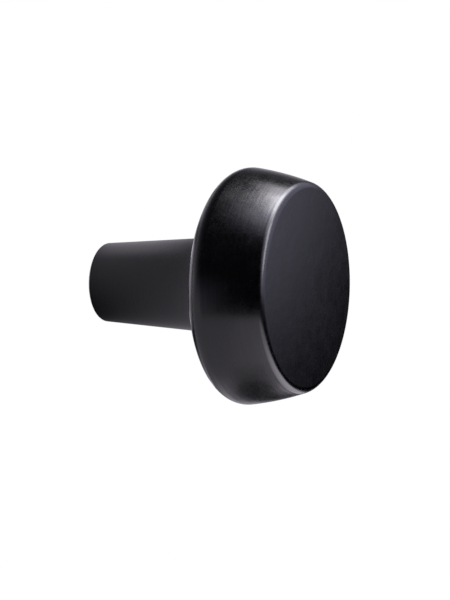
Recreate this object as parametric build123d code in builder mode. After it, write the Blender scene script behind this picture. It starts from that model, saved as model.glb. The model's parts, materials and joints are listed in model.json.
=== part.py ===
"""A round cabinet knob, cast in one piece: a slim tapered stem, a broad head and a tapped hole in the base.

The knob stands out from a door or a drawer front, and its frame is the one that it has in use:
the origin is the middle of the base that meets the door, +Z is up and the knob reaches out along -Y.
All lengths are in millimetres and all angles in degrees.
"""

import os
from math import asin, atan2, degrees, radians, sin, tan

from build123d import *

# Overall sizes
head_diameter = 32.0  # widest, round the back of the head
projection = 31.1  # from the door to the middle of the face

# Stem
stem_length = 20.0  # from the door to the back of the head
stem_base_diameter = 10.8  # at the door
stem_head_diameter = 13.4  # where the stem's taper would reach the back of the head
base_rounding = 0.5  # radius round the edge that meets the door
root_rounding = 4.5  # hollow radius where the stem flares into the head, if the back is wide enough

# Head
back_rounding = 2.4  # radius from the back of the head to its side
side_lean = 8.0  # angle to the axis at which the side leaves the back rounding
side_radius = 41.0  # long curve of the side, from the back rounding to the face
edge_rounding = 1.05  # radius between the side and the face
face_crown = 0.35  # how far the middle of the face stands before its edge

# Tapped hole for the machine screw that comes through the door
screw_diameter = 4.0
thread_pitch = 0.7
hole_depth = 14.0  # to the end of the drilled wall
mouth_clearance = 0.4  # added to the screw's diameter at the mouth of the countersink
countersink_angle = 90.0
drill_point_angle = 118.0

# Radii and depths that follow from these sizes
head_radius = head_diameter / 2
stem_base_radius = stem_base_diameter / 2
stem_head_radius = stem_head_diameter / 2
face_edge = projection - face_crown
core_radius = (screw_diameter - thread_pitch) / 2
mouth_radius = (screw_diameter + mouth_clearance) / 2
mouth_depth = (mouth_radius - core_radius) / tan(radians(countersink_angle / 2))
drill_point_depth = core_radius / tan(radians(drill_point_angle / 2))

# The root's hollow has its radius, or the largest that still leaves some of the back of the head flat.
stem_lean = degrees(atan2(stem_head_radius - stem_base_radius, stem_length))
back_width = head_radius - back_rounding - stem_head_radius
widest_hollow = 0.9  # share of the back's width that the hollow may take
root_limit = widest_hollow * back_width * tan(radians((90 + stem_lean) / 2))
root_radius = min(root_rounding, root_limit)

# The side is an arc that leaves the back rounding without a break and ends at the depth of the face's edge.
side_start = stem_length + back_rounding * (1 + sin(radians(side_lean)))
side_end_lean = degrees(asin(sin(radians(side_lean)) + (face_edge - side_start) / side_radius))

door_plane = Plane.ZX  # the plane of the base, facing the door

with BuildPart() as knob:
    # Half of the knob's section: X is the distance from the axis, and the distance from the door is along -Y.
    with BuildSketch(Plane.XY) as section:
        with BuildLine():
            base = Line((0, 0), (stem_base_radius, 0))
            stem = Line(base @ 1, (stem_head_radius, -stem_length))
            back = Line(stem @ 1, (head_radius - back_rounding, -stem_length))
            back_turn = JernArc(back @ 1, back % 1, back_rounding, -90 - side_lean)
            side = JernArc(back_turn @ 1, back_turn % 1, side_radius, side_lean - side_end_lean)
            face = TangentArc((0, -projection), side @ 1, tangent=(1, 0))
            Line(face @ 0, base @ 0)
        make_face()
        roundings = (base @ 1, base_rounding), (stem @ 1, root_radius), (side @ 1, edge_rounding)
        for corner, radius in roundings:
            fillet(section.vertices().sort_by_distance(corner)[0], radius)
    revolve(axis=Axis.Y)

    # The tapped hole: a countersunk mouth, the drilled core and the cone that the drill leaves.
    with Locations(door_plane):
        CounterSinkHole(core_radius, mouth_radius, hole_depth, countersink_angle)
    with Locations(door_plane.offset(-hole_depth)):
        Cone(
            bottom_radius=0,
            top_radius=core_radius,
            height=drill_point_depth,
            align=(Align.CENTER, Align.CENTER, Align.MAX),
            mode=Mode.SUBTRACT,
        )

knob.part.label = "knob"

os.makedirs("parts", exist_ok=True)
export_step(knob.part, "parts/knob.step")

print(f"knob: {knob.part.volume / 1000:.2f} cubic centimetres, {len(knob.faces())} faces")
print(f"root: hollow radius {root_radius:.2f} on a back {back_width:.2f} wide")
print(f"hole: radius {core_radius:.3f} from {mouth_depth:.3f} to {hole_depth:.3f} deep")
print(f"face: {2 * (side @ 1).X:.2f} across before its edge is rounded")
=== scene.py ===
# %% [markdown]
# # A matte black cabinet knob
#
# The real object is one metal casting under a matte black coat. Its CAD model gives the true size, and
# Blender loads that model as a fixed frame in which nothing is moved or resized. This lesson turns a finer
# mesh of the same form, taps the screw hole, makes the coat and sets up a small studio.
#
# The knob's axis is the Y axis. The base that meets the door lies at y = 0, and the knob reaches out along
# -Y. Every length is in metres, unless its comment says millimetres.

import json
import math

import bpy
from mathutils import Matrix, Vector


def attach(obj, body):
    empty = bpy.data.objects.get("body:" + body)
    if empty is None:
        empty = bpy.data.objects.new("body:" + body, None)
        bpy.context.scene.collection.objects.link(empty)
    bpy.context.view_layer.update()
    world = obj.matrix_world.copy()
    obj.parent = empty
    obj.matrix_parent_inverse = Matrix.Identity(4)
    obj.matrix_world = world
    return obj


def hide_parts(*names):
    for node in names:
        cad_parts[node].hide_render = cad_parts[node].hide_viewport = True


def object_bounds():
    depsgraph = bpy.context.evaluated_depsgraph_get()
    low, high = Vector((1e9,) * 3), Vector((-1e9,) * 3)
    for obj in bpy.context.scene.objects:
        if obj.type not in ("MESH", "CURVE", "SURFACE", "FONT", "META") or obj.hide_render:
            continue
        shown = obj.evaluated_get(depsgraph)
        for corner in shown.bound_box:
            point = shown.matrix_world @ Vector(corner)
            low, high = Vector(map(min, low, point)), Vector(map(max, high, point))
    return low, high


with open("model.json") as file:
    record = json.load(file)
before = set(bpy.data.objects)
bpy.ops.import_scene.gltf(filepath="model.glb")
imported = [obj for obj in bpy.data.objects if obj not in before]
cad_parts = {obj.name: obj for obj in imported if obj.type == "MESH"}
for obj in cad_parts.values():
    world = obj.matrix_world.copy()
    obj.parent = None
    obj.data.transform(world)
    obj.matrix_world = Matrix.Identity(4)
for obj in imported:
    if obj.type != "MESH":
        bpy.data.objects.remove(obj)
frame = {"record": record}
cad_low, cad_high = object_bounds()
print("CAD box from", tuple(cad_low), "to", tuple(cad_high))

# %% [markdown]
# ## Camera
#
# The camera comes first, because every later choice is judged through it. It could be moved by eye until
# the outlines agree. Here its angles come from fitting the knob's outline to the photograph, and the place
# follows from one known point: a point on the axis has to land on the pixel that shows it.

# %% Place the camera
millimetre = 0.001
image_wide = 450  # pixels of the photograph
image_high = 600
focal_length = 2952  # pixels
camera_distance = 400 * millimetre
camera_azimuth = -63.42  # degrees round the knob, where 0 looks straight at its face
camera_elevation = 3.39
aim = Vector((0, -18 * millimetre, 0))  # a point on the axis, inside the stem
aim_column = 223.0  # the pixel of that point
aim_row = 285.3


def direction(azimuth, elevation):
    """The unit vector from the knob towards an azimuth and an elevation in degrees."""
    turn = math.radians(azimuth)
    rise = math.radians(elevation)
    level = math.cos(rise)
    return Vector((math.sin(turn) * level, -math.cos(turn) * level, math.sin(rise)))


back = direction(camera_azimuth, camera_elevation)
aiming = (-back).to_track_quat("-Z", "Y")
pixel = camera_distance / focal_length
sideways = aiming @ Vector((1, 0, 0)) * pixel * (image_wide / 2 - aim_column)
upwards = aiming @ Vector((0, 1, 0)) * pixel * (aim_row - image_high / 2)
camera_place = aim + back * camera_distance + sideways + upwards
bpy.ops.object.camera_add(location=camera_place, rotation=aiming.to_euler())
camera = bpy.context.object
camera.data.lens = focal_length / image_high * camera.data.sensor_width
bpy.context.scene.camera = camera
print("camera at", tuple(camera.location), "with a lens of", camera.data.lens, "mm")

# %% [markdown]
# ## Section
#
# Everything on this knob is round about one axis, so half of its section says it all. The section is a
# chain of straight runs and arcs that pass into each other without a corner. Beveling a stack of cylinders
# would come close, but only arcs that share their tangents give highlights without a kink. The sizes are
# those of the CAD model. A point of the section is given by its distance across from the axis and its
# distance out from the door.

# %% Sizes of the section
projection = -cad_low.y
head_radius = cad_high.x
stem_length = 20 * millimetre
stem_base_radius = 5.4 * millimetre
stem_head_radius = 6.7 * millimetre  # where the taper would reach the back of the head
base_rounding = 0.5 * millimetre
root_rounding = 4.5 * millimetre
back_rounding = 2.4 * millimetre
side_lean = 8  # degrees to the axis where the side leaves the back rounding
side_radius = 41 * millimetre
edge_rounding = 1.05 * millimetre
face_crown = 0.35 * millimetre

drill_angle = 118  # degrees at the drill's point
screw_hole = next(mount for mount in frame["record"]["mounts"] if mount["name"] == "screw_hole")
core_radius = screw_hole["dims"]["r_mm"] * millimetre
core_length = screw_hole["dims"]["length_mm"] * millimetre
mouth_depth = -screw_hole["pos_m"][1] - core_length / 2
hole_depth = mouth_depth + core_length
mouth_radius = core_radius + mouth_depth  # the countersink leans by 45 degrees
drill_point = core_radius / math.tan(math.radians(drill_angle / 2))
print("hole of radius", core_radius, "from", mouth_depth, "to", hole_depth)


# %% Straight runs and arcs
def on_circle(centre, radius, angle):
    """The point of a circle at an angle. 0 degrees points away from the axis and 90 away from the door."""
    turn = math.radians(angle)
    return Vector(centre) + radius * Vector((math.cos(turn), math.sin(turn)))


def arc(centre, radius, start, end, steps):
    """Points on an arc, from one angle to another."""
    return [on_circle(centre, radius, start + (end - start) * step / steps) for step in range(steps + 1)]


def run(start, end, steps):
    """Points on a straight run between two points."""
    return [Vector(start).lerp(Vector(end), step / steps) for step in range(steps + 1)]


def held(points):
    """The same points and one more close to each end, which keeps smooth shading true beside a rounding."""
    hold = 0.06 * millimetre
    first = points[0] + hold * (points[1] - points[0]).normalized()
    last = points[-1] + hold * (points[-2] - points[-1]).normalized()
    return [points[0], first, *points[1:-1], last, points[-1]]


def meeting(centre_a, radius_a, centre_b, radius_b):
    """Where two circles meet, on the side that is further across."""
    apart = Vector(centre_b) - Vector(centre_a)
    along = (radius_a**2 - radius_b**2 + apart.length_squared) / (2 * apart.length)
    beside = math.sqrt(radius_a**2 - along**2)
    way = apart.normalized()
    middle = Vector(centre_a) + along * way
    across = way.orthogonal() * beside
    return max(middle + across, middle - across, key=lambda point: point.x)


def heading(centre, point):
    """The angle in degrees at which a point lies from a centre."""
    gap = Vector(point) - Vector(centre)
    return math.degrees(math.atan2(gap.y, gap.x))


print("a quarter of a circle in two steps:", arc((0, 0), 1, 0, 90, steps=2))

# %% Centres of the arcs
stem_lean = math.degrees(math.atan2(stem_head_radius - stem_base_radius, stem_length))
# How far from the stem's two corners their roundings start, for a radius of 1.
reach = (1 - math.sin(math.radians(stem_lean))) / math.cos(math.radians(stem_lean))
base_centre = (stem_base_radius - base_rounding * reach, base_rounding)
root_centre = (stem_head_radius + root_rounding * reach, stem_length - root_rounding)
back_centre = (head_radius - back_rounding, stem_length + back_rounding)
side_start = on_circle(back_centre, back_rounding, side_lean)
side_centre = on_circle(side_start, side_radius, side_lean + 180)
face_edge = projection - face_crown
face_edge_radius = side_centre.x + math.sqrt(side_radius**2 - (face_edge - side_centre.y) ** 2)
face_radius = (face_edge_radius**2 + face_crown**2) / (2 * face_crown)
face_centre = (0, projection - face_radius)
edge_centre = meeting(side_centre, side_radius - edge_rounding, face_centre, face_radius - edge_rounding)
edge_start = heading(side_centre, edge_centre)
edge_end = heading(face_centre, edge_centre)
print("crowned face of radius", face_radius, "and", face_edge_radius, "across to its edge")

# %% Draw half of the section
hole = [
    Vector((0, hole_depth + drill_point)),
    Vector((core_radius, hole_depth)),
    Vector((core_radius, mouth_depth)),
    Vector((mouth_radius, 0)),
]
base_edge = arc(base_centre, base_rounding, -90, -stem_lean, steps=20)
root = arc(root_centre, root_rounding, 180 - stem_lean, 90, steps=40)
back_edge = arc(back_centre, back_rounding, -90, side_lean, steps=48)
side = arc(side_centre, side_radius, side_lean, edge_start, steps=24)
front_edge = arc(edge_centre, edge_rounding, edge_start, edge_end, steps=32)
face = arc(face_centre, face_radius, edge_end, 90, steps=24)
base_ring = run(hole[-1], base_edge[0], steps=8)
stem = run(base_edge[-1], root[0], steps=16)
back_face = run(root[-1], back_edge[0], steps=6)

section = list(hole)
stem_outline = held(base_ring), base_edge, held(stem), root
head_outline = held(back_face), back_edge, held(side), front_edge, held(face)
for stretch in stem_outline + head_outline:
    section += stretch[1:]  # its first point is already there
print("section of", len(section), "points")

# %% [markdown]
# ## Casting
#
# A lathe turns a section into a body, and Blender's Spin does the same. A plane shrunk to one vertex is the
# pen: it is extruded from point to point along the section, and the chain is spun once round the axis. The
# seam and the two ends on the axis come out doubled, so they are merged, and the normals are set to point
# outwards.


# %% Spin the casting
def start_piece(name):
    """A new mesh of one vertex at the origin, in edit mode."""
    bpy.ops.object.select_all(action="DESELECT")
    bpy.ops.mesh.primitive_plane_add(size=millimetre)
    bpy.context.object.name = name
    bpy.ops.object.mode_set(mode="EDIT")
    bpy.ops.mesh.merge(type="CENTER")
    return bpy.context.object


def draw_chain(points):
    """Moves the one vertex to the first point of a section and extrudes it to each of the others."""
    places = [Vector((point.x, -point.y, 0)) for point in points]
    bpy.ops.transform.translate(value=places[0])
    for here, there in zip(places, places[1:]):
        bpy.ops.mesh.extrude_vertices_move(TRANSFORM_OT_translate={"value": there - here})
    bpy.ops.mesh.select_all(action="SELECT")


spin_steps = 192
weld = 0.001 * millimetre

knob = start_piece("knob_coated")
draw_chain(section)
bpy.ops.mesh.spin(steps=spin_steps, angle=2 * math.pi, center=(0, 0, 0), axis=(0, 1, 0))
bpy.ops.mesh.select_all(action="SELECT")
bpy.ops.mesh.remove_doubles(threshold=weld)
bpy.ops.mesh.normals_make_consistent(inside=False)
bpy.ops.object.mode_set(mode="OBJECT")
print("casting of", len(knob.data.polygons), "faces")

# %% [markdown]
# ## Thread
#
# A machine screw comes through the door and turns into the base, so the hole is tapped. The tap's tooth is
# drawn as a small trapezoid beside the axis, and the Screw modifier sweeps it along a right-hand helix. A
# Boolean then takes that worm out of the casting, as the tap takes its chips out of the metal. A bump map
# could fake the grooves, but only real ones keep their shape at the mouth, where the thread runs out in the
# countersink.

# %% Sweep the tap's tooth
thread_pitch = 0.7 * millimetre
thread_turns = 17
thread_steps = 48
thread_start = -0.7 * millimetre  # the worm starts just outside the mouth
root_half = 0.042 * millimetre  # half of the tooth's width at its tip, in the root of the groove
crest_half = 0.329 * millimetre  # half of its width inside the drilled core
groove_radius = 2.02 * millimetre
inner_radius = 1.5 * millimetre
tooth = [
    Vector((inner_radius, thread_start - crest_half)),
    Vector((groove_radius, thread_start - root_half)),
    Vector((groove_radius, thread_start + root_half)),
    Vector((inner_radius, thread_start + crest_half)),
]

worm = start_piece("thread_worm")
draw_chain(tooth)
bpy.ops.mesh.edge_face_add()
bpy.ops.mesh.delete(type="ONLY_FACE")
bpy.ops.object.mode_set(mode="OBJECT")
bpy.ops.object.modifier_add(type="SCREW")
sweep = worm.modifiers[-1]
sweep.axis = "Y"
sweep.angle = -2 * math.pi  # clockwise as it goes into the base, as a right-hand thread does
sweep.screw_offset = -thread_pitch
sweep.iterations = thread_turns
sweep.steps = thread_steps
sweep.render_steps = thread_steps
bpy.ops.object.modifier_apply(modifier=sweep.name)
bpy.ops.object.mode_set(mode="EDIT")
bpy.ops.mesh.select_all(action="SELECT")
bpy.ops.mesh.fill_holes(sides=len(tooth))
bpy.ops.mesh.normals_make_consistent(inside=False)
bpy.ops.object.mode_set(mode="OBJECT")
print("worm of", len(worm.data.polygons), "faces")

# %% Cut the thread
smooth_angle = math.radians(30)
bpy.ops.object.select_all(action="DESELECT")
knob.select_set(True)
bpy.context.view_layer.objects.active = knob
bpy.ops.object.modifier_add(type="BOOLEAN")
tap = knob.modifiers[-1]
tap.operation = "DIFFERENCE"
tap.solver = "EXACT"
tap.object = worm
bpy.ops.object.modifier_apply(modifier=tap.name)
bpy.data.objects.remove(worm)
bpy.ops.object.shade_smooth_by_angle(angle=smooth_angle)
print("tapped casting of", len(knob.data.polygons), "faces")

# %% [markdown]
# ## Expressions for shaders
#
# A material is a small calculation at every point of a surface. The nodes for it could be placed and linked
# one by one, but then the formula is hard to read back. The class below wraps a node's output, so that a
# plain Python expression such as 1 - mask adds the Math nodes it needs. Its method node adds a node of any
# other type.


# %% Wrap a socket
class Value:
    """An output socket of a node tree that takes part in Python expressions."""

    def __init__(self, socket):
        self.socket = socket
        self.tree = socket.id_data

    def node(self, kind, settings, inputs, output=0):
        """Adds a node to the same tree: first its settings, then the values or links of its sockets."""
        node = self.tree.nodes.new(kind)
        for name, setting in settings.items():
            setattr(node, name, setting)
        for name, value in inputs.items():
            if isinstance(value, Value):
                self.tree.links.new(value.socket, node.inputs[name])
            else:
                node.inputs[name].default_value = value
        return Value(node.outputs[output])

    def maths(self, operation, first, second):
        return self.node("ShaderNodeMath", {"operation": operation}, {0: first, 1: second})

    def __add__(self, other):
        return self.maths("ADD", self, other)

    def __radd__(self, other):
        return self.maths("ADD", other, self)

    def __sub__(self, other):
        return self.maths("SUBTRACT", self, other)

    def __rsub__(self, other):
        return self.maths("SUBTRACT", other, self)

    def __mul__(self, other):
        return self.maths("MULTIPLY", self, other)

    def __rmul__(self, other):
        return self.maths("MULTIPLY", other, self)

    def __truediv__(self, other):
        return self.maths("DIVIDE", self, other)

    def largest(self, other):
        return self.maths("MAXIMUM", self, other)

    def below(self, limit):
        """1 where this value is less than the limit, and 0 elsewhere."""
        return self.maths("LESS_THAN", self, limit)

    def rise(self, none, full):
        """0 at one limit and beyond, 1 at another and beyond, and a smooth slope between them."""
        limits = {"Value": self, "From Min": none, "From Max": full}
        return self.node("ShaderNodeMapRange", {"interpolation_type": "SMOOTHSTEP"}, limits)

    def axis(self, name):
        """One of the three numbers of a vector."""
        return self.node("ShaderNodeSeparateXYZ", {}, {0: self}, name)

    def stretch(self, amounts):
        """A vector with each of its numbers multiplied."""
        return self.node("ShaderNodeVectorMath", {"operation": "MULTIPLY"}, {0: self, 1: amounts})

    def towards(self, way):
        """How much a vector points along another one."""
        return self.node("ShaderNodeVectorMath", {"operation": "DOT_PRODUCT"}, {0: self, 1: way}, "Value")

    def between(self, none, full):
        """A colour that goes from one where this value is 0 to another where it is 1."""
        return self.node("ShaderNodeMix", {"data_type": "RGBA"}, {"Factor": self, 6: none, 7: full}, 2)

    def coloured(self, colour):
        """A colour made as bright as this value says."""
        return self.node("ShaderNodeVectorMath", {"operation": "SCALE"}, {0: colour[:3], "Scale": self})

    def feed(self, socket):
        """Links this value to the input of a node that is already there."""
        self.tree.links.new(self.socket, socket)


def source(tree, kind, output):
    """The output of a new node that has no inputs, as the start of an expression."""
    return Value(tree.nodes.new(kind).outputs[output])


print("expressions know", ", ".join(name for name in vars(Value) if not name.startswith("_")))

# %% [markdown]
# ## Coat
#
# The coat is a thin black paint that was baked on. It is nearly black by itself, and all that the eye sees
# of it is its sheen: satin, so that lamps show as soft patches. Close up it has a very fine grain, a faint
# waviness as of an orange peel, and faint rings round the axis that are left from polishing the casting. A
# rougher shader alone would blur the lamps but stay lifeless. Here the three kinds of unevenness are noises
# of their true size in one Bump, so that highlights break up as they do on the real coat.

# %% Unevenness of the coat
micrometre = 0.001 * millimetre
grain_lump = 0.36 * millimetre
grain_height = 2.7 * micrometre
peel_lump = 1.6 * millimetre
peel_height = 9 * micrometre
ring_gap = 0.5 * millimetre
ring_height = 8 * micrometre
round_axis = (0.08, 1, 0.08)  # squeezes a noise into rings round the axis


def unevenness(where, lump, detail=1):
    """Noise about zero, with lumps of about the given size."""
    inputs = {"Vector": where, "Scale": 1 / lump, "Detail": detail}
    return where.node("ShaderNodeTexNoise", {}, inputs, "Fac") - 0.5


coat = bpy.data.materials.new("black_coat")
coat.use_nodes = True
coat_shader = coat.node_tree.nodes["Principled BSDF"]
place = source(coat.node_tree, "ShaderNodeTexCoord", "Object")
grain = unevenness(place, grain_lump)
peel = unevenness(place, peel_lump)
rings = unevenness(place.stretch(round_axis), ring_gap)
height = grain_height * grain + peel_height * peel + ring_height * rings
relief = height.node("ShaderNodeBump", {}, {"Strength": 1, "Distance": 1, "Height": height}, "Normal")
relief.feed(coat_shader.inputs["Normal"])
print("relief of the coat with", len(coat.node_tree.nodes), "nodes")

# %% [markdown]
# The sheen is satin, and a little duller on the lumps than between them. A roughness of one value could do,
# but the small change keeps a trace of the grain where the coat mirrors something even.

# %% Sheen of the coat
coat_ior = 1.7
satin = 0.23  # roughness of the even coat
peel_share = 0.1  # how much the lumps add to it
grain_share = 0.12
coat_shader.inputs["IOR"].default_value = coat_ior
roughness = satin + peel_share * peel + grain_share * grain
roughness.feed(coat_shader.inputs["Roughness"])
print("sheen of the coat about a roughness of", satin)

# %% [markdown]
# The colour is an uneven near-black with a few specks of dust under it. The tap cuts through the coat, so
# the hole shows bare zinc. A second material could cover the hole's faces. A mask by place does the same in
# one material, which the part's one slot asks for: the hole is whatever lies nearer to the axis than its
# mouth and not deeper than the drill went.

# %% Colour of the coat
deep_black = (0.0002, 0.0002, 0.0002, 1)
pale_black = (0.0011, 0.001, 0.0012, 1)
dust = (0.02, 0.02, 0.02, 1)
zinc = (0.5, 0.5, 0.52, 1)

across = place.axis("X")
depth = -1 * place.axis("Y")
upward = place.axis("Z")
off_axis = across * across + upward * upward  # the squared distance
bare = off_axis.below(mouth_radius**2) * depth.below(hole_depth + drill_point)
bare.feed(coat_shader.inputs["Metallic"])

mottle_lump = 0.7 * millimetre
mottle_contrast = 1.6
mottle = 0.5 + mottle_contrast * unevenness(place, mottle_lump, detail=2)
speck_gap = 4.5 * millimetre
speck_radius = 0.1 * millimetre
to_speck = place.node("ShaderNodeTexVoronoi", {}, {"Vector": place, "Scale": 1 / speck_gap}, "Distance")
speck = to_speck.below(speck_radius / speck_gap)
paint = speck.between(mottle.between(deep_black, pale_black), dust)
bare.between(paint, zinc).feed(coat_shader.inputs["Base Color"])

knob.data.materials.append(coat)
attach(knob, "root")
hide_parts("knob")
print("coat with", len(coat.node_tree.nodes), "nodes in all")

# %% [markdown]
# ## Lamps
#
# A black satin thing is lit by what it mirrors. A large softbox overhead makes the broad highlight on the
# head. The cloth of a softbox is brightest in its middle, and one flat lamp would show as an even patch with
# hard borders, so four sheets of light overlap here. They hang a few millimetres apart, because of lamps
# that lie in exactly one plane a mirrored ray meets only one. A narrow card draws the bright line along the
# edge of the face. The camera doesn't see an area lamp, but the coat mirrors it. Its power is worked out
# from its radiance, the brightness that a mirror would show, because that is what the coat shows of it.

# %% Hang the lamps
lamp_white = (0.97, 0.94, 1.0)


def add_lamp(name, azimuth, elevation, offset, wide, high, radiance):
    """A soft rectangle turned to the knob. Its offset is how far aside, above and away it hangs."""
    turn = direction(azimuth, elevation).to_track_quat("Z", "Y")
    lamp_place = aim + turn @ Vector(offset)
    bpy.ops.object.light_add(type="AREA", location=lamp_place, rotation=turn.to_euler())
    lamp = bpy.context.object
    lamp.name = name
    lamp.data.shape = "RECTANGLE"
    lamp.data.size = wide
    lamp.data.size_y = high
    lamp.data.energy = radiance * math.pi * wide * high
    lamp.data.color = lamp_white
    print("lamp", name, "of", lamp.data.energy, "watts")


overhead = {"azimuth": 22, "elevation": 66.6}
add_lamp("softbox_wide", **overhead, offset=(0.035, -0.003, 0.6), wide=0.83, high=0.535, radiance=1.2)
add_lamp("softbox_inner", **overhead, offset=(0.12, 0.026, 0.595), wide=0.58, high=0.393, radiance=2.6)
add_lamp("softbox_core", **overhead, offset=(0.055, 0.067, 0.59), wide=0.29, high=0.335, radiance=5.5)
add_lamp("softbox_spill", **overhead, offset=(-0.005, 0.15, 0.605), wide=0.49, high=0.5, radiance=0.45)

before_face = {"azimuth": -8, "elevation": 29}
add_lamp("edge_card", **before_face, offset=(0, 0, 0.6), wide=0.2, high=0.44, radiance=3.8)

# %% [markdown]
# ## Floor
#
# The knob hangs over a plain pale floor. The camera sees the floor as white, because its own grey is lifted
# for camera rays, and the soft shadow stays in it. What the coat mirrors of the floor is set apart, for a
# floor that is white all over would wash out the black: a glow is painted into it for mirrored rays, with a
# painted pool of light before the knob, a painted shadow as a dark gap beside it and a plain grey behind.
# Small lamps and black cards on the floor could do this, but their hard borders show in the sheen. A glow
# that is worked out from the place on the floor has borders as soft as they need to be.

# %% Lay the floor
round_steps = 96
floor_drop = 60 * millimetre
floor_radius = 135 * millimetre
bpy.ops.object.select_all(action="DESELECT")
bpy.ops.mesh.primitive_circle_add(
    vertices=round_steps,
    radius=floor_radius,
    fill_type="NGON",
    location=(0, 0, -floor_drop),
)
floor = bpy.context.object
floor.name = "floor"


def plain_shader(material):
    """The shader of a new material, set to a matte surface that can glow."""
    material.use_nodes = True
    shader = material.node_tree.nodes["Principled BSDF"]
    shader.inputs["Roughness"].default_value = 1.0
    shader.inputs["Specular IOR Level"].default_value = 0.0
    shader.inputs["Emission Strength"].default_value = 1.0
    return shader


floor_paint_and_glow = bpy.data.materials.new("floor_paint_and_glow")
floor_shader = plain_shader(floor_paint_and_glow)
floor.data.materials.append(floor_paint_and_glow)
print("floor of radius", floor_radius)

# %% Pool of light
per_metre = 1 / millimetre
spot = source(floor_paint_and_glow.node_tree, "ShaderNodeTexCoord", "Object").stretch((per_metre,) * 3)
floor_x = spot.axis("X")  # in millimetres, sideways: the camera stands on the minus side
floor_y = spot.axis("Y")  # in millimetres, from before the face, which is minus, to behind the base

# A painted pool of light: the floor glows here for mirrored rays, and no lamp lights it.
pool_tone = 1.42
hot_x = 24  # middle of a hot spot in the pool, in millimetres
hot_y = -66
hot_wide = 62  # how far the hot spot reaches from its middle, in millimetres
hot_deep = 36
aside = (floor_x - hot_x) / hot_wide
ahead = (floor_y - hot_y) / hot_deep
hot_spot = (1 - aside * aside - ahead * ahead).largest(0)

near_fade = floor_x.rise(-235, -15)  # dims the pool towards the camera
far_border = (floor_x - 0.7 * floor_y).rise(112, 95)
front_border = (floor_y - 0.45 * floor_x).rise(-122, -88) * floor_y.rise(-150, -90)
pool = (pool_tone * near_fade + hot_spot) * far_border * front_border
print("pool of light with its hot spot at", hot_x, hot_y, "mm")

# %% Painted shadow in a dark gap, and grey
grey_tone = 0.43
far_lift = 0.36  # added to the grey on the far side, just behind the gap
far_fall = 0.48  # taken off it again further back
# painted shadow: how much of the grey the dark gap under the knob takes away
painted_shadow_depth = 0.95  # share of the grey that the gap takes away
spill_tone = 0.17

past_gap = floor_y - 0.33 * floor_x  # grows from the pool across the gap and the grey
far_side = floor_x.rise(-15, 15)
grey = grey_tone + far_side * (far_lift - far_fall * past_gap.rise(-6, 22))
# The gap is a painted shadow under the knob, cut into the grey that mirrored rays see.
gap = painted_shadow_depth * floor_x.rise(-34, 14) * past_gap.rise(-9.5, -15.5)
spill = spill_tone * (floor_y - 0.1 * floor_x).rise(-12, -24) * floor_x.rise(8, -24)
behind = (floor_y - 0.29 * floor_x).rise(-32.5, -23.5)  # 0 in the pool and 1 behind it
# Painted light and shade of the floor, which only mirrored rays see.
floor_glow = (1 - behind) * pool + behind * (grey * (1 - gap) + spill)
print("glow of the floor with", len(floor_paint_and_glow.node_tree.nodes), "nodes")

# %% Floor for the camera and for the coat
black = (0, 0, 0, 1)
violet = (1.0, 0.95, 1.08, 1)
floor_grey = (0.23, 0.216, 0.234, 1)
floor_lift = (0.85, 0.85, 0.85, 1)
to_camera = source(floor_paint_and_glow.node_tree, "ShaderNodeLightPath", "Is Camera Ray")
mirrored = source(floor_paint_and_glow.node_tree, "ShaderNodeLightPath", "Is Glossy Ray")
mirrored.between(floor_grey, black).feed(floor_shader.inputs["Base Color"])
floor_tone = to_camera.between(mirrored.between(black, floor_glow.coloured(violet)), floor_lift)
floor_tone.feed(floor_shader.inputs["Emission Color"])
print("floor with", len(floor_paint_and_glow.node_tree.nodes), "nodes in all")

# %% [markdown]
# ## Collar
#
# Photographers set cards round a shiny object to shape its reflections, just outside the picture. Flat cards
# would need many places to follow a round stem. Here one collar stands round it, so that the stem doesn't
# drown in the dark of the room. It reflects nothing, and its glow is painted light: grey, brighter above and
# at its front rim. Behind the base it is painted dark, a painted shade that draws the outline of the stem's
# end, and bright on the far side, which the back edge of the head mirrors. The camera, matte surfaces and
# shadows don't notice it.

# %% Stand the collar round the stem
collar_radius = 20 * millimetre
collar_front = -9 * millimetre
collar_back = 34 * millimetre
bpy.ops.object.select_all(action="DESELECT")
bpy.ops.mesh.primitive_cylinder_add(
    vertices=round_steps,
    radius=collar_radius,
    depth=collar_back - collar_front,
    end_fill_type="NOTHING",
    location=(0, (collar_front + collar_back) / 2, 0),
    rotation=(math.pi / 2, 0, 0),
)
bpy.ops.object.transform_apply(location=True, rotation=True, scale=False)
collar = bpy.context.object
collar.name = "collar"
collar.visible_camera = False
collar.visible_diffuse = False
collar.visible_shadow = False
print("collar with", len(collar.data.polygons), "faces")

# %% Painted glow of the collar
collar_painted_glow = bpy.data.materials.new("collar_painted_glow")
collar_shader = plain_shader(collar_painted_glow)
collar_shader.inputs["Base Color"].default_value = black
collar.data.materials.append(collar_painted_glow)

on_collar = source(collar_painted_glow.node_tree, "ShaderNodeTexCoord", "Object")
collar_x = on_collar.axis("X") / collar_radius  # from -1 beside the camera to 1 on the far side
collar_y = on_collar.axis("Y") / millimetre  # behind the base, in millimetres
collar_z = on_collar.axis("Z") / collar_radius  # from -1 below to 1 above

# The collar's glow is painted light: a grey tone, brighter above as if lit from there and at its front rim.
painted_glow_tone = 0.28
least_tone = 0.06
above_tone = 0.42
above_middle = 3.5  # where the light above is brightest, in millimetres behind the base
above_reach = 9.5  # how far it reaches from there, in millimetres
rim_rise = 0.4  # how much brighter the rim gets with each millimetre
rim_width = 2.5  # millimetres
# share of the glow that the painted shade behind the base takes away
painted_shade_share = 0.7
bright_tone = 1.6

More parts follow.
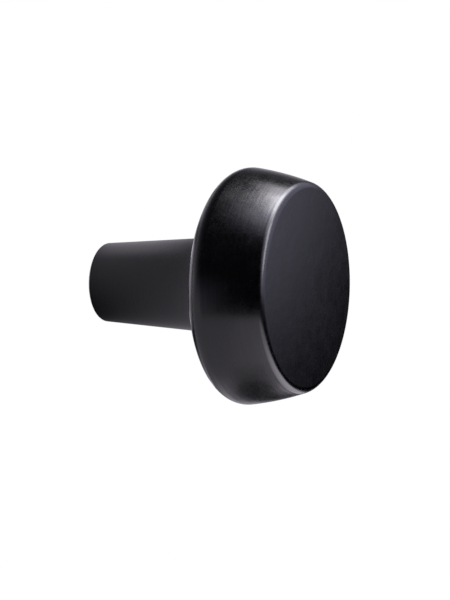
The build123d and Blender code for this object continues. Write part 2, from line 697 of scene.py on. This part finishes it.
slope = (painted_glow_tone + (0.016 * collar_z - 0.008) * collar_y).largest(least_tone)
from_middle = (collar_y - above_middle) / above_reach
hump = (1 - from_middle * from_middle).largest(0)
above = above_tone * hump * collar_z.largest(0) * collar_x.rise(-0.5, 0.15)
rim = rim_rise * (collar_front / millimetre + rim_width - collar_y).largest(0)
near_side = collar_x.rise(0.9, 0.6)  # all but the far side
# Painted shade: the glow goes dark behind the base, which draws the outline of the stem's end.
painted_dark_end = painted_shade_share * near_side * collar_y.rise(9.5, 13.5)
bright_end = bright_tone * (1 - near_side) * collar_y.rise(10, 16)
collar_glow = (slope + above + rim) * (1 - painted_dark_end) + bright_end
collar_glow.coloured(violet).feed(collar_shader.inputs["Emission Color"])
print("paper of the collar with", len(collar_painted_glow.node_tree.nodes), "nodes")

# %% [markdown]
# ## Room
#
# The camera sees a white background, and so does anything seen through glass. The coat mirrors a dark room
# instead: a large sheet of soft light in front of the knob gives the face its even grey, a pale wall stands
# low behind it and a white backdrop glows there. Lit planes could stand in their places. A world that
# brightens towards a direction does the same without hard borders, and squeezing a direction's height first
# makes a glow wide and low. Matte surfaces get a plain even light from all sides.

# %% Sheet of light and wall
bpy.context.scene.view_settings.view_transform = "Standard"
world = bpy.data.worlds.new("studio")
bpy.context.scene.world = world
world.use_nodes = True
background = world.node_tree.nodes["Background"]
ray = source(world.node_tree, "ShaderNodeTexCoord", "Generated")
ray_y = ray.axis("Y")  # from -1 before the knob to 1 behind it
ray_z = ray.axis("Z")  # from -1 below to 1 above

sheet_way = direction(-27, 44)  # towards the middle of the sheet
side_way = direction(58, 25)  # towards the side away from the camera
sheet_tone = 0.63
middle_tone = 0.72  # added towards the middle of the sheet
wall_tone = 0.42
in_front = ray.towards(sheet_way)
beside = ray.towards(side_way)
sheet = sheet_tone + middle_tone * (in_front - 0.1).largest(0)
sheet = sheet * in_front.rise(-0.135, 0.11) * beside.rise(-0.12, 0.38)  # ends softly, early by the camera
sheet = sheet * ray_z.rise(-0.16, -0.02) * ray_y.rise(0.2, -0.1)  # none of it below or behind the knob
wall = wall_tone * ray_y.rise(-0.02, 0.36) * ray_z.rise(0.32, -0.32)
print("sheet of light and wall with", len(world.node_tree.nodes), "nodes")

# %% Backdrop
squeeze = Vector((1, 1, 2.9))  # makes a glow wide and low
flat_ray = ray.stretch(squeeze)
flat_ray = flat_ray.node("ShaderNodeVectorMath", {"operation": "NORMALIZE"}, {0: flat_ray})


def glow_towards(azimuth, elevation, sharpness):
    """A wide low glow that is 1 in one direction and fades out around it."""
    facing = flat_ray.towards((direction(azimuth, elevation) * squeeze).normalized())
    return facing.maths("POWER", facing.largest(0), sharpness)


middle_glow = 1.25 * glow_towards(azimuth=172, elevation=5, sharpness=5)
side_glow = 0.6 * glow_towards(azimuth=122, elevation=8, sharpness=10)
backdrop = middle_glow + side_glow
print("backdrop added to the room, which has", len(world.node_tree.nodes), "nodes")

# %% Room for the camera and for the coat
even_light = 0.45
blue = (0.96, 0.95, 1.27, 1)
white = (1, 1, 1, 1)
to_camera = source(world.node_tree, "ShaderNodeLightPath", "Is Camera Ray")
through_glass = source(world.node_tree, "ShaderNodeLightPath", "Is Transmission Ray")
mirrored = source(world.node_tree, "ShaderNodeLightPath", "Is Glossy Ray")
seen = to_camera.largest(through_glass)
room = sheet + wall + backdrop
strength = seen.largest(mirrored * room + (1 - mirrored) * even_light)
strength.feed(background.inputs["Strength"])
tint = in_front.rise(-0.15, 0.12).between(violet, blue)
seen.between(tint, white).feed(background.inputs["Color"])
print("room with", len(world.node_tree.nodes), "nodes in all")

# %% [markdown]
# ## Sizes
#
# A model that will be placed in other scenes keeps the size of its CAD model.
